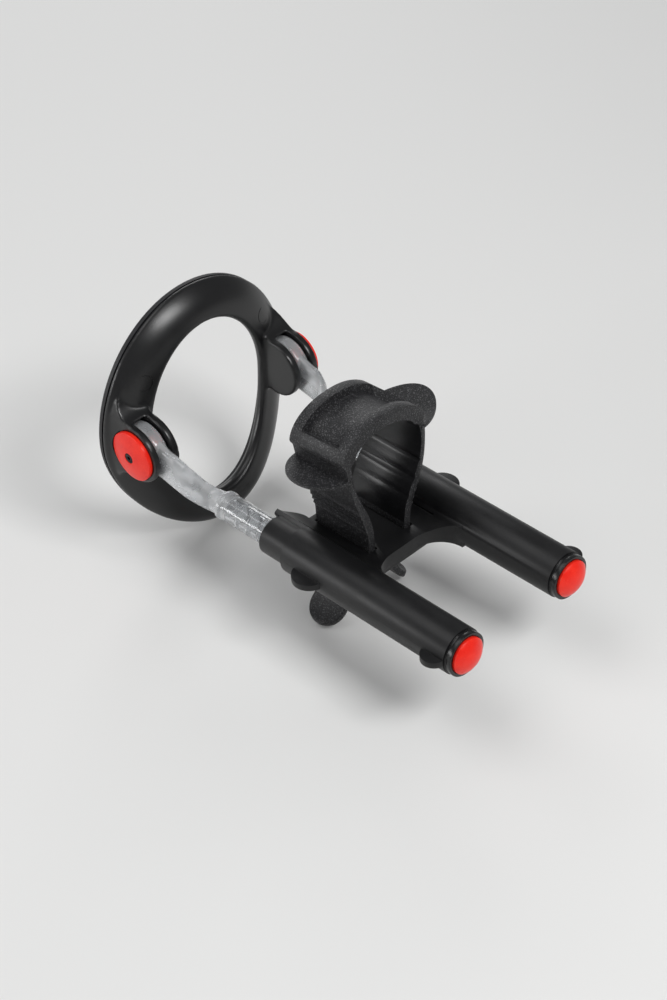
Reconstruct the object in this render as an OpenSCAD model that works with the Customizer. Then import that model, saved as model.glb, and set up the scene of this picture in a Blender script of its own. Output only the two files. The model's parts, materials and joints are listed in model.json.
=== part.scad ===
// Wearable traction device: an oval base ring swivels on two clear arms that
// slide in a pair of bridged barrels, with a rubber loop standing on the bridge.
// Millimetres. The front, with the buttons, faces -Y and the ring is at +Y.
// The origin is on the table, at the centre of the footprint.

/* [Barrels] */
// Distance between the two barrel axes
barrel_pitch = 49; // [46:0.5:56]
// Outer diameter of a barrel
barrel_d = 16.4; // [15.8:0.1:18]
// Bore of a barrel
barrel_bore = 13.4; // [13.2:0.1:13.8]
// Length of the thick stretch of a barrel
barrel_len = 73; // [70:1:90]
// Outer diameter of the thin rear sleeve
sleeve_d = 13.6; // [13.2:0.1:14.2]
// Length of the rear sleeve
sleeve_len = 11.5; // [10:0.5:20]
// Bore of the rear sleeve, which holds the guide bush
sleeve_bore = 11.7; // [11.4:0.1:11.9]
// Thickness of the solid web between the two bores
web_t = 1; // [0.8:0.1:1.5]
// Reach of the rear lug past the side of its barrel
rear_lug_reach = 4.6; // [3:0.1:6]
// Radius of the rear lug
rear_lug_r = 6.2; // [4:0.1:7]
// Radius of the front lug
front_lug_r = 4.6; // [3:0.1:6]
// Thickness of the lugs
lug_t = 2.2; // [1.5:0.1:3]

/* [Bridge] */
// Distance from the barrel front to the front edge of the bridge
bridge_start = 48.6; // [40:0.5:52]
// Length of the bridge along the barrels
bridge_len = 33.5; // [33:0.5:38]
// Thickness of the bridge plate
bridge_t = 5; // [4:0.1:6]
// Half width of the flat middle of the bridge
bridge_flat = 9; // [8:0.1:10]
// Corner radius between the front edge of the bridge and a barrel
bridge_corner = 11; // [8:0.5:12]
// Radius of the two round lobes at the rear of the bridge
lobe_r = 6.3; // [5:0.1:7]
// Distance of the clamp tabs from the middle
tab_x = 16; // [15.5:0.1:16.4]
// Thickness of a clamp tab
tab_t = 0.5; // [0.4:0.1:0.8]
// Length of a clamp tab
tab_len = 31; // [24:1:32]
// Thickness of the clamp plate under the bridge
clamp_t = 3; // [2.5:0.1:4]

/* [Strap] */
// Width of the rubber band along the barrels
band_w = 25; // [20:0.5:27]
// Distance from the bridge front edge to the band
band_start = 5.8; // [4:0.1:7]
// Thickness of the legs
leg_t = 3; // [2.4:0.1:3.4]
// Thickness of the band at its crown
crown_t = 6; // [4.5:0.1:7]
// Height of the middle of the crown above the bridge
crown_h = 49; // [44:0.5:56]
// Half width of the loop at its widest
loop_half = 15.9; // [14:0.1:18]
// Height of the widest point above the bridge
loop_wide_h = 30; // [26:0.5:34]
// Distance of the legs from the middle where they enter the bridge
foot_x = 8.3; // [8:0.1:8.8]
// Distance of the pull tongue ends from the middle
tongue_x = 18.5; // [15:0.5:21]
// Shift of the pull tongues towards the ring
tongue_shift = 4.5; // [0:0.5:5]
// Width of a pull tongue
tongue_w = 18; // [12:0.5:19]
// Depth of the window in the crown
window_depth = 2.6; // [1.5:0.1:3]
// Width of each rim beside the window
rim_w = 4.6; // [3:0.1:6]
// Radius of the side flaps
flap_r = 12.4; // [8:0.2:12.4]
// Thickness of the side flaps
flap_t = 2.2; // [1.6:0.1:3]
// Height of the side flaps above the bridge
flap_h = 34.5; // [30:0.5:36]

/* [Arms] */
// Outer diameter of the clear tube
tube_d = 9.9; // [9.6:0.1:10.2]
// Inner diameter of the clear tube
tube_bore = 6.4; // [6.2:0.1:6.8]
// Length of tube that shows between barrel and collar at rest
tube_show = 21.5; // [17:0.5:24]
// Length of tube inside the barrel at rest
tube_hidden = 36.9; // [34:0.1:41]
// Spacing of the grooves inside the tube
groove_pitch = 5.5; // [4.5:0.1:6.5]
// Width of a groove
groove_w = 1.6; // [1:0.1:2]
// Depth of a groove
groove_depth = 0.6; // [0.3:0.1:0.8]
// Diameter of the collar at the rear of the tube
arm_collar_d = 10.6; // [10:0.1:12]
// Length of that collar
arm_collar_len = 2.6; // [2:0.1:4]
// Distance from that collar to the pivot
neck_len = 28.4; // [26:0.2:34]
// Height of the pivot above the barrel axes
pivot_rise = 14.4; // [12:0.2:16]
// Radius of the eye at the pivot
eye_r = 9.6; // [8:0.1:9.8]
// Thickness of the eye
eye_t = 5; // [4.4:0.1:5.6]

/* [Pivots] */
// Distance between the outer faces of the two red caps
cap_span = 79.4; // [76:0.2:88]
// Radius of a red pivot cap
cap_r = 9.2; // [8.5:0.1:9.6]
// Thickness of a red pivot cap at its rim
cap_t = 1.5; // [1:0.1:2]
// Rise of the dome on a red pivot cap
cap_dome = 1.3; // [0.8:0.1:2]
// Radius of the hollow shank of a pivot cap
shank_r = 3; // [2.6:0.1:3.4]
// Thickness of the outer ear
outer_ear_t = 2.6; // [2.2:0.1:3]
// Thickness of the inner ear
inner_ear_t = 3.2; // [3:0.1:4]
// Radius of the ears
ear_r = 11; // [10.4:0.1:11.6]
// Radius of the screw in a pivot cap
screw_r = 1.5; // [1.2:0.1:1.7]
// Radius of the screw head
screw_head_r = 1.9; // [1.8:0.1:2.2]
// Gap between an eye and each ear
ear_gap = 0.3; // [0.25:0.05:0.5]

/* [Ring] */
// Half width of the ring
ring_half = 40.2; // [39:0.2:46]
// Added half height of the ring over its half width
ring_stretch = 6.6; // [4:0.2:8]
// Radial width of the ring
ring_w = 15.2; // [14:0.2:16]
// Depth of the ring in front of its rear face
ring_depth = 9.6; // [8:0.2:11]
// Thickness of the soft pad on the rear face
pad_t = 2; // [1.5:0.1:3]
// Backward lean of the upper part of the ring
ring_lean = -1.5; // [-4:0.1:6]
// Forward bend of the lower part of the ring
ring_bend = 26; // [0:1:30]
// Distance below the middle of the ring at which the bend starts
bend_start = 6; // [4:0.5:12]
// Length of the bend
bend_len = 21; // [12:0.5:24]
// Distance of the pivot in front of the rim of the ring
pivot_forward = 12.8; // [11:0.1:14]
// Height of the pivot above the middle of the ring
pivot_up = 2.9; // [0:0.1:4]

/* [Buttons and springs] */
// Diameter of a red button
button_d = 13; // [12.4:0.1:13.2]
// Rise of the dome of a button
button_dome = 2.6; // [2:0.1:3.2]
// Travel of a button
button_travel = 2; // [1:0.1:2.1]
// Diameter of the front collar
collar_d = 15.6; // [15:0.1:16]
// Length of the front collar outside its barrel
collar_len = 2.6; // [2.5:0.1:3.5]
// Length of the collar spigot inside the barrel
spigot_len = 8.6; // [8.4:0.1:10]
// Radius of a button stem
stem_r = 3.5; // [3.2:0.1:3.6]
// Radius of the release pin
pin_r = 1.15; // [1:0.05:1.2]
// Radius of the lock rod
rod_r = 2.5; // [2.3:0.1:2.6]
// Wire diameter of the button spring
button_wire = 0.7; // [0.5:0.05:0.8]
// Wire diameter of the tension spring
tension_wire = 1.3; // [1:0.1:1.4]
// Length of the tension spring as fitted
tension_len = 14; // [12:0.5:15]

/* [Hidden] */
$fn = 64;

fit = 0.05;           // running and seating clearance, on the radius
open_fit = 0.3;       // clearance of the open pivot, on the radius
through = 1;          // how far a cut runs past a face
half_pitch = barrel_pitch / 2;

// stations along a barrel, measured back from the rim of the buttons
collar_y = 0.8;
barrel_y = collar_y + collar_len;
step_y = barrel_y + barrel_len;
mouth_y = step_y + sleeve_len;
bore_end_y = step_y - web_t;
spigot_y = barrel_y + spigot_len;
seat_t = 2;
seat_y = spigot_y;
tension_y = seat_y + seat_t;
flange_t = 2;
flange_y = tension_y + tension_len;
tube_y = mouth_y - tube_hidden;
arm_collar_y = mouth_y + tube_show;
neck_y = arm_collar_y + arm_collar_len;
pivot_y = neck_y + neck_len;
stop_t = 1.5;         // stop ring on the front end of each tube
stop_inset = 1;       // distance of the stop ring from the end of the tube
stop_bite = 0.6;      // depth of its groove in the tube

// bridge
bridge_y = barrel_y + bridge_start;
bridge_end = bridge_y + bridge_len;
barrel_r = barrel_d / 2;
sink = 0.1;           // how far a blend reaches into what it meets
sunk_r = barrel_r - sink;
saddle_r = (pow(half_pitch - bridge_flat, 2) - sunk_r * sunk_r) / (2 * sunk_r);
saddle_top = saddle_r * sunk_r / (saddle_r + sunk_r);
inner_x = half_pitch - barrel_r;
lobe_x = inner_x + 0.5;
lobe_y = mouth_y - 1.4;
lobe_end = lobe_y + lobe_r + through;
lobe_out = half_pitch - 4.5;   // the lobes stop short of the tubes
tab_inset = 1.5;      // distance of the clamp tabs from the bridge front edge
tab_y = bridge_y + tab_inset;
tab_low = 0.3;        // how far the tabs stay below the surface of the bridge
rear_lug_y = bridge_y + 12;
front_lug_in = 1;     // how far the front lug keeps inside the side of the barrel
slot_margin = 0.4;
band_y = bridge_y + band_start;

// ring
slot_clear = 0.8;     // clearance round an eye, on the radius
cap_clear = 0.4;      // clearance round a red cap, on the radius
shank_bite = 0.8;     // depth of the seat of the cap shank in the inner ear
insert_lip = 0.7;     // plastic left under the brass insert
insert_wall = 0.3;    // how much wider the insert is than the screw head
head_t = 1.2;         // depth of the screw head recess
head_low = 0.2;       // how far the screw head stays below the dome
hex_r = 0.8;          // socket of the screw
hex_depth = 0.6;
rim_r = 1.2;          // rounding of the outer rim
ring_inner = ring_half - ring_w;
ring_y = pivot_y - pivot_up * sin(ring_lean) + pivot_forward * cos(ring_lean);
ring_z = pivot_rise - pivot_up * cos(ring_lean) - pivot_forward * sin(ring_lean);
edge_r = pad_t / 2;   // round edge of the pad
pad_draft = 0.6;      // how far the inner edge of the pad slopes back
edge_at = ring_half - edge_r;
bends = 4;            // the bend is made in equal steps, each about a crosswise line
bend_depth = 3;       // depth of those lines in front of the rear face
bend_step = ring_bend / bends;
bend_pitch = bend_len / (bends - 1);
low_lean = ring_lean + ring_bend;
low_run = edge_at + ring_stretch - bend_start - bend_len;
bend_drop = [for (k = [1 : bends - 1]) bend_pitch * cos(ring_lean + k * bend_step)];
ring_drop = bend_start * cos(ring_lean) - bend_depth * sin(ring_lean) + bend_drop * [for (b = bend_drop) 1] + low_run * cos(low_lean)
    + (bend_depth + pad_t - edge_r) * sin(low_lean) + edge_r;
ring_back = (bend_start + (bend_depth + pad_t) * tan(bend_step / 2)) * sin(-ring_lean) + pad_t * cos(ring_lean);

// where the whole object stands
floor_z = ring_z - ring_drop;
front_y = -button_dome;
back_y = ring_y + ring_back;
origin_y = -(front_y + back_y) / 2;

// pivot stack, measured out from the middle
cap_x = cap_span / 2;
outer_ear_x = cap_x - cap_t - fit;
slot_out_x = outer_ear_x - outer_ear_t;
eye_x = slot_out_x - ear_gap - eye_t;
inner_ear_out = eye_x - ear_gap;
inner_ear_in = inner_ear_out - inner_ear_t;

module placed() {
    translate([0, origin_y, -floor_z]) children();
}

// a piece on the left side, and its mirror image on the right
module on_left() {
    placed() children();
}

module on_right() {
    placed() mirror([1, 0, 0]) children();
}

// a round bar along Y, from station a to station b
module bar_y(a, b, r) {
    translate([0, a, 0]) rotate([-90, 0, 0]) cylinder(h = b - a, r = r);
}

// a round bar along X, from x = a to x = b
module bar_x(a, b, r) {
    translate([a, 0, 0]) rotate([0, 90, 0]) cylinder(h = b - a, r = r);
}

module at_barrel() {
    translate([-half_pitch, 0, 0]) children();
}

module at_pivot() {
    translate([0, pivot_y, pivot_rise]) children();
}

// ---- frame

module lug(reach_x, y, r) {
    translate([reach_x - r, y, -lug_t / 2]) cylinder(h = lug_t, r = r);
}

module bridge_profile() {
    difference() {
        translate([-half_pitch, -bridge_t]) square([barrel_pitch, bridge_t + saddle_top]);
        for (s = [-1, 1]) translate([s * bridge_flat, saddle_r]) circle(r = saddle_r, $fn = 96);
        translate([-bridge_flat, 0]) square([2 * bridge_flat, bridge_t + saddle_top]);
    }
}

// plan of the bridge: its front edge rounded into the barrels, a round lobe beside each barrel at the rear
module bridge_plan() {
    corner_x = inner_x + 4 * sink - bridge_corner;
    difference() {
        translate([-half_pitch, bridge_y - bridge_corner]) square([barrel_pitch, bridge_len + bridge_corner]);
        for (s = [-1, 1]) translate([s * corner_x, bridge_y - bridge_corner]) circle(r = bridge_corner, $fn = 96);
        translate([-corner_x, bridge_y - 2 * bridge_corner]) square([2 * corner_x, 2 * bridge_corner]);
    }
    intersection() {
        for (s = [-1, 1]) translate([s * lobe_x, lobe_y]) circle(r = lobe_r, $fn = 96);
        translate([-lobe_out, bridge_y]) square([2 * lobe_out, lobe_end - bridge_y]);
    }
}

module bridge() {
    intersection() {
        translate([0, lobe_end, 0]) rotate([90, 0, 0])
            linear_extrude(height = lobe_end - bridge_y + 2 * bridge_corner) bridge_profile();
        translate([0, 0, -bridge_t - through]) linear_extrude(height = 3 * bridge_t + saddle_top) bridge_plan();
    }
}

module barrel_frame() {
    color("#1c1c1e") placed() difference() {
        union() {
            bridge();
            for (s = [0, 1]) mirror([s, 0, 0]) {
                at_barrel() bar_y(barrel_y, step_y, barrel_r);
                at_barrel() bar_y(step_y - web_t, mouth_y, sleeve_d / 2);
                lug(-half_pitch - barrel_r - rear_lug_reach + 2 * rear_lug_r, rear_lug_y, rear_lug_r);
                lug(-half_pitch - barrel_r + front_lug_r + front_lug_in, barrel_y + front_lug_r, front_lug_r);
            }
        }
        for (s = [0, 1]) mirror([s, 0, 0]) {
            at_barrel() bar_y(barrel_y - through, bore_end_y, barrel_bore / 2);
            at_barrel() bar_y(bore_end_y - through, step_y + web_t, tube_d / 2 + 4 * fit);
            at_barrel() bar_y(step_y, lobe_end + through, sleeve_bore / 2);
            translate([foot_x - leg_t / 2 - slot_margin, band_y - slot_margin, -bridge_t - through])
                cube([leg_t + 2 * slot_margin, band_w + 2 * slot_margin, bridge_t + 2 * through]);
            translate([tab_x - tab_t / 2 - fit, tab_y - fit, -bridge_t - through])
                cube([tab_t + 2 * fit, tab_len + 2 * fit, bridge_t + saddle_top + 2 * through]);
        }
    }
}

// plate under the bridge: its two tabs come up through the slits
module strap_clamp() {
    tab_top = saddle_r - sqrt(pow(saddle_r, 2) - pow(tab_x - bridge_flat, 2));
    color("#232325") placed() difference() {
        union() {
            translate([-tab_x - tab_t / 2, tab_y, -bridge_t - fit - clamp_t])
                cube([2 * tab_x + tab_t, tab_len, clamp_t]);
            for (s = [-1, 1]) translate([s * tab_x - tab_t / 2, tab_y, -bridge_t - clamp_t])
                cube([tab_t, tab_len, bridge_t + clamp_t + tab_top - tab_low]);
        }
        for (s = [0, 1]) mirror([s, 0, 0])
            translate([foot_x - leg_t / 2 - slot_margin, band_y - slot_margin, -bridge_t - clamp_t - through])
                cube([leg_t + 2 * slot_margin, band_w + 2 * slot_margin, clamp_t + 2 * through]);
    }
}

// ---- rubber strap

function bezier(p, t) = pow(1 - t, 3) * p[0] + 3 * pow(1 - t, 2) * t * p[1]
    + 3 * (1 - t) * t * t * p[2] + pow(t, 3) * p[3];
function slope(p, t) = 3 * pow(1 - t, 2) * (p[1] - p[0]) + 6 * (1 - t) * t * (p[2] - p[1])
    + 3 * t * t * (p[3] - p[2]);
function left_of(v) = [-v[1], v[0]] / norm(v);

leg_low = -bridge_t - clamp_t - 1;
tip_z = floor_z + leg_t / 2;
crown_curve = [[0, crown_h], [loop_half * 0.62, crown_h], [loop_half, loop_wide_h + 11], [loop_half, loop_wide_h]];
side_curve = [[loop_half, loop_wide_h], [loop_half, loop_wide_h - 14], [foot_x, 13], [foot_x, 3]];
root_curve = [[foot_x, 3], [foot_x, 0], [foot_x, -4], [foot_x, leg_low]];
tongue_curve = [[foot_x, leg_low], [foot_x, leg_low - 8], [tongue_x - 4, tip_z + 8], [tongue_x, tip_z]];

// points beside a curve: d is the distance to its left, t_a at its start, t_b at its end
function beside(p, d_a, d_b, n, from = 0) =
    [for (i = [from : n]) let (t = i / n) bezier(p, t) + left_of(slope(p, t)) * (d_a + (d_b - d_a) * t)];
function reversed(v) = [for (i = [len(v) - 1 : -1 : 0]) v[i]];

half_crown = crown_t / 2;
half_leg = leg_t / 2;
function strap_side(s) = concat(
    beside(crown_curve, s * half_crown, s * half_leg, 10),
    beside(side_curve, s * half_leg, s * half_leg, 8, 1),
    beside(root_curve, s * half_leg, s * half_leg, 2, 1));

module half_loop() {
    polygon(concat(strap_side(1), reversed(strap_side(-1))));
}

module window_cut() {
    polygon(concat(
        beside(crown_curve, half_crown + 3, half_leg + 3, 10),
        reversed(beside(crown_curve, half_crown - window_depth, half_leg - window_depth / 2, 10))));
}

module tongue() {
    r = tongue_w / 2;
    mid_y = band_y + band_w / 2 + tongue_shift;
    intersection() {
        translate([0, mid_y + r, 0]) rotate([90, 0, 0]) linear_extrude(height = tongue_w) polygon(concat(
            beside(tongue_curve, half_leg, half_leg, 8), reversed(beside(tongue_curve, -half_leg, -half_leg, 8))));
        translate([0, mid_y, 0]) rotate([0, 90, 0]) linear_extrude(height = 2 * tongue_x) union() {
            translate([-floor_z - r, 0]) circle(r = r);
            translate([-leg_low - 2, -r]) square([-floor_z - r + leg_low + 2, tongue_w]);
        }
    }
}

module rubber_strap() {
    color("#2a2a2b") placed() {
        for (s = [0, 1]) mirror([s, 0, 0]) {
            difference() {
                translate([0, band_y + band_w, 0]) rotate([90, 0, 0]) linear_extrude(height = band_w) half_loop();
                translate([0, band_y + band_w - rim_w, 0]) rotate([90, 0, 0])
                    linear_extrude(height = band_w - 2 * rim_w) window_cut();
            }
            tongue();
            intersection() {
                translate([loop_half, band_y + band_w / 2, flap_h - flap_t / 2]) cylinder(h = flap_t, r = flap_r);
                translate([loop_half + half_leg / 2, band_y, 0]) cube([2 * flap_r, band_w, crown_h]);
            }
        }
    }
}

// ---- base ring, drawn flat with its front upwards

module at_ring() {
    translate([0, ring_y, ring_z]) rotate([90 - ring_lean, 0, 0]) children();
}

module flat_oval() {
    for (s = [0, 1]) mirror([0, s, 0]) translate([0, ring_stretch, 0])
        rotate_extrude(angle = 180, $fn = 96) children();
    for (s = [0, 1]) mirror([s, 0, 0]) rotate([90, 0, 0])
        linear_extrude(height = 2 * ring_stretch, center = true) children();
}

// turned forward by the first k steps of the bend
module after_bends(k) {
    if (k == 0) children();
    else after_bends(k - 1) translate([0, bend_y(k), bend_depth]) rotate([-bend_step, 0, 0])
        translate([0, -bend_y(k), -bend_depth]) children();
}

function bend_y(k) = -bend_start - (k - 1) * bend_pitch;

// what lies between two steps of the bend, mitred at both with a small overlap
module between_bends(k) {
    reach = 2 * ring_half + ring_stretch;
    depth = reach / 2;
    lean = depth * tan(bend_step / 2);
    top = k == 0 ? [reach, reach] : (bend_y(k) + sink) * [1, 1] + [lean, -lean];
    low = k == bends ? [-reach, -reach] : (bend_y(k + 1) - sink) * [1, 1] + [-lean, lean];
    translate([0, 0, bend_depth]) rotate([90, 0, 90]) linear_extrude(height = 2 * reach, center = true)
        polygon([[top[0], -depth], [top[1], depth], [low[1], depth], [low[0], -depth]]);
}

module oval() {
    for (k = [0 : bends]) after_bends(k) intersection() {
        flat_oval() children();
        between_bends(k);
    }
}

// section of the ring: a flat rear, a thin outer rim, and a crowned slope to the inner edge
front_edge_r = 1.6;
inner_top = [ring_inner + front_edge_r, ring_depth - front_edge_r];
slope_start = [ring_half - rim_r, rim_r];
module ring_section() {
    crown = [for (i = [0 : 8]) let (t = i / 8)
        slope_start + (inner_top + [0.6, front_edge_r] - slope_start) * t + [0, 2.6 * sin(180 * t)]];
    nose = [for (i = [1 : 5]) inner_top + front_edge_r * [cos(60 + 24 * i), sin(60 + 24 * i)]];
    polygon(concat([[ring_inner + 3, 0], [ring_half - 0.4, 0], [ring_half, 0.5]], crown, nose));
}

// ear disc and its slightly smaller root, which reaches back into the ring
module ear(x_in, x_out) {
    step = 2 * sink;
    at_pivot() bar_x(x_in, x_out, ear_r);
    at_pivot() rotate([-ring_lean, 0, 0]) translate([x_in + step, 0, step - ear_r])
        cube([x_out - x_in - 2 * step, pivot_forward - 2, 2 * (ear_r - step)]);
}

module base_ring() {
    shank_end = inner_ear_out - shank_bite;
    color("#19191b") placed() difference() {
        union() {
            at_ring() oval() ring_section();
            for (s = [0, 1]) mirror([s, 0, 0]) {
                ear(slot_out_x, outer_ear_x);
                ear(inner_ear_in, inner_ear_out);
            }
        }
        for (s = [0, 1]) mirror([s, 0, 0]) {
            at_pivot() bar_x(inner_ear_out, slot_out_x, eye_r + slot_clear);
            at_pivot() bar_x(outer_ear_x, cap_x + cap_dome + through, cap_r + cap_clear);
            at_pivot() bar_x(shank_end, outer_ear_x + through, shank_r + fit);
            at_pivot() bar_x(inner_ear_in + insert_lip, shank_end + through, screw_head_r + insert_wall + fit);
        }
    }
}

module ring_pad() {
    edge = [for (i = [-3 : 3]) [edge_at, -edge_r] + edge_r * [cos(30 * i), sin(30 * i)]];
    color("#242426") placed() at_ring() oval()
        polygon(concat([[ring_inner + 4, 0], [ring_inner + 4 + pad_draft, -pad_t]], edge));
}

// ---- pivots (drawn for the left side, at -X)

module pivot_cap() {
    dome_r = (cap_r * cap_r + cap_dome * cap_dome) / (2 * cap_dome);
    at_pivot() mirror([1, 0, 0]) difference() {
        union() {
            intersection() {
                translate([cap_x + cap_dome - dome_r, 0, 0]) sphere(r = dome_r, $fn = 128);
                bar_x(outer_ear_x + fit, cap_x + cap_dome + through, cap_r);
            }
            bar_x(inner_ear_out - shank_bite + 2 * fit, outer_ear_x + fit, shank_r);
        }
        bar_x(inner_ear_out - through, cap_x + cap_dome + through, screw_r + fit);
        bar_x(cap_x + cap_dome - head_t, cap_x + cap_dome + through, screw_head_r + fit);
    }
}

module pivot_screw() {
    head_x = cap_x + cap_dome;
    at_pivot() mirror([1, 0, 0]) difference() {
        union() {
            bar_x(inner_ear_in + 2 * insert_lip, head_x - head_t + fit, screw_r);
            bar_x(head_x - head_t + fit, head_x - head_low, screw_head_r);
        }
        translate([head_x - head_low - hex_depth, 0, 0]) rotate([0, 90, 0])
            cylinder(h = hex_depth + through, r = hex_r, $fn = 6);
    }
}

module pivot_insert() {
    at_pivot() mirror([1, 0, 0]) difference() {
        bar_x(inner_ear_in + insert_lip + fit, inner_ear_out - shank_bite - fit, screw_head_r + insert_wall);
        bar_x(inner_ear_in, inner_ear_out, screw_r + fit);
    }
}

// ---- arms (drawn for the left side)

groove_from = 6;      // distance of the first groove from the front end of the tube
groove_until = 4;     // length without grooves before the collar
tube_end = 1;         // solid end of the tube before the collar
stop_y = tube_y + stop_inset + fit;

eye_mid = -(eye_x + eye_t / 2);
// stations of the blade, from the eye to the tube: place, height and thickness
blade = [
    [eye_mid, pivot_y - 12, pivot_rise - 2.2, 13.6, 4.6],
    [eye_mid, pivot_y - 19.5, pivot_rise - 3.6, 13.6, 4.6],
    [eye_mid + 3, pivot_y - 23.5, pivot_rise * 0.5, 12.4, 5],
    [-half_pitch - 1.2, neck_y + 2.2, pivot_rise * 0.12, 10.4, 6],
    [-half_pitch, neck_y - 0.3, 0, 9.4, 6.6]];

// a rounded section of the blade
module blade_at(b) {
    translate([b[0], b[1], b[2]]) rotate([90, 0, 0]) linear_extrude(height = 0.6, center = true, $fn = 32) union() {
        for (s = [-1, 1]) translate([0, s * (b[3] - b[4]) / 2]) circle(d = b[4]);
        square([b[4], b[3] - b[4]], center = true);
    }
}

module arm(pivot_gap) {
    difference() {
        union() {
            at_barrel() bar_y(tube_y, arm_collar_y + through, tube_d / 2);
            at_barrel() bar_y(arm_collar_y, neck_y, arm_collar_d / 2);
            at_pivot() bar_x(eye_mid - eye_t / 2, eye_mid + eye_t / 2, eye_r);
            hull() {
                at_pivot() bar_x(eye_mid - eye_t / 2 + 0.4, eye_mid + eye_t / 2 - 0.4, eye_r - 1);
                blade_at(blade[0]);
            }
            for (i = [0 : len(blade) - 2]) hull() {
                blade_at(blade[i]);
                blade_at(blade[i + 1]);
            }
        }
        at_barrel() bar_y(tube_y - through, arm_collar_y - tube_end, tube_bore / 2);
        at_barrel() for (y = [tube_y + groove_from : groove_pitch : arm_collar_y - groove_until])
            bar_y(y, y + groove_w, tube_bore / 2 + groove_depth);
        at_barrel() difference() {
            bar_y(stop_y - fit, stop_y + stop_t + fit, tube_d);
            bar_y(tube_y, stop_y + 2 * stop_t, tube_d / 2 - stop_bite);
        }
        at_pivot() bar_x(eye_mid - eye_t, eye_mid + eye_t, shank_r + pivot_gap);
    }
}

module stop_ring() {
    at_barrel() difference() {
        bar_y(stop_y, stop_y + stop_t, barrel_bore / 2 - 4 * fit);
        bar_y(tube_y, stop_y + 2 * stop_t, tube_d / 2 - stop_bite + fit);
    }
}

bush_low = 0.3;       // how far the bush stays inside the sleeve

module guide_bush() {
    at_barrel() difference() {
        bar_y(step_y + web_t + fit, mouth_y - bush_low, sleeve_bore / 2 - fit / 2);
        bar_y(step_y, mouth_y + through, tube_d / 2 + fit);
    }
}

// ---- front end (drawn for the left side)

clip_y = barrel_y + button_travel + fit;
clip_t = 0.9;
clip_bite = 0.6;      // depth of the clip groove in the stem
pocket_r = 5.6;       // pocket for the clip and the spring
pocket_clear = 0.5;   // clearance round the clip, on the radius
floor_t = 0.2;        // floor of the collar under the button
ridge_w = 0.7;        // groove round the collar
stem_clear = 0.5;     // what is left in front of the spring seat with the button pressed
module collar() {
    floor_y = barrel_y - floor_t;
    at_barrel() difference() {
        union() {
            bar_y(collar_y, barrel_y, collar_d / 2);
            bar_y(barrel_y, spigot_y, barrel_bore / 2 - fit / 2);
        }
        bar_y(collar_y - through, floor_y, button_d / 2 + 2 * fit);
        bar_y(collar_y, spigot_y, stem_r + fit);
        bar_y(clip_y - fit, spigot_y + through, pocket_r);
        translate([0, barrel_y - ridge_w, 0]) rotate([90, 0, 0]) rotate_extrude()
            translate([collar_d / 2, 0]) square([ridge_w, ridge_w], center = true);
    }
}

stem_end = spigot_y - button_travel - stem_clear;
module button() {
    r = button_d / 2;
    dome_r = (r * r + button_dome * button_dome) / (2 * button_dome);
    at_barrel() difference() {
        union() {
            intersection() {
                translate([0, dome_r - button_dome, 0]) sphere(r = dome_r, $fn = 128);
                bar_y(-button_dome - through, collar_y + floor_t, r);
            }
            bar_y(collar_y, stem_end, stem_r);
        }
        bar_y(barrel_y, stem_end + through, pin_r + fit);
        difference() {
            bar_y(clip_y, clip_y + clip_t + 2 * fit, stem_r + through);
            bar_y(clip_y - through, clip_y + clip_t + through, stem_r - clip_bite);
        }
    }
}

module button_clip() {
    at_barrel() difference() {
        bar_y(clip_y + fit, clip_y + fit + clip_t, pocket_r - pocket_clear);
        bar_y(clip_y - through, clip_y + clip_t + through, stem_r - clip_bite + fit);
    }
}

module release_pin() {
    at_barrel() bar_y(barrel_y + fit, head_end - button_travel - stem_clear, pin_r);
}

module spring_seat() {
    at_barrel() difference() {
        bar_y(seat_y, seat_y + seat_t, barrel_bore / 2 - fit / 2);
        bar_y(seat_y - through, seat_y + seat_t + through, rod_r + fit);
    }
}

head_end = step_y + 11.5;
head_len = 7;
head_slit = 0.8;      // width of the cross slits in the lock head
slit_len = 8;

// rod with a flange for the spring and a slotted head, drawn released, inside the tube
module lock_rod() {
    at_barrel() difference() {
        union() {
            bar_y(seat_y + stem_clear, head_end - through, rod_r);
            bar_y(flange_y, flange_y + flange_t, barrel_bore / 2 - 6 * fit);
            bar_y(head_end - head_len, head_end, tube_bore / 2 - 2 * fit);
        }
        bar_y(seat_y, head_end + through, pin_r + 2 * fit);
        for (a = [0, 90]) rotate([0, a, 0]) translate([-head_slit / 2, head_end - slit_len, -tube_bore])
            cube([head_slit, slit_len + through, 2 * tube_bore]);
    }
}

button_coil_r = 4.5;
button_turns = 4;
tension_coil_r = 4.7;
tension_turns = 6;

// coil spring along Y: turns of round wire with flat closed ends, as stacked rings
module coil(y_a, y_b, mean_r, wire, turns) {
    pitch = (y_b - y_a - wire) / (turns - 1);
    for (i = [0 : turns - 1]) translate([0, y_a + wire / 2 + i * pitch, 0]) rotate([90, 0, 0])
        rotate_extrude() translate([mean_r, 0]) circle(d = wire, $fn = 16);
    for (i = [0 : turns - 2]) rotate([0, 180 * i, 0]) translate([mean_r, y_a + wire / 2 + i * pitch, 0])
        rotate([-90, 0, 0]) cylinder(h = pitch, d = wire * 0.9, $fn = 16);
}

module button_spring() {
    at_barrel() coil(clip_y + clip_t + 2 * fit, seat_y - fit, button_coil_r, button_wire, button_turns);
}

module tension_spring() {
    at_barrel() coil(tension_y + fit, flange_y - fit, tension_coil_r, tension_wire, tension_turns);
}

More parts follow.
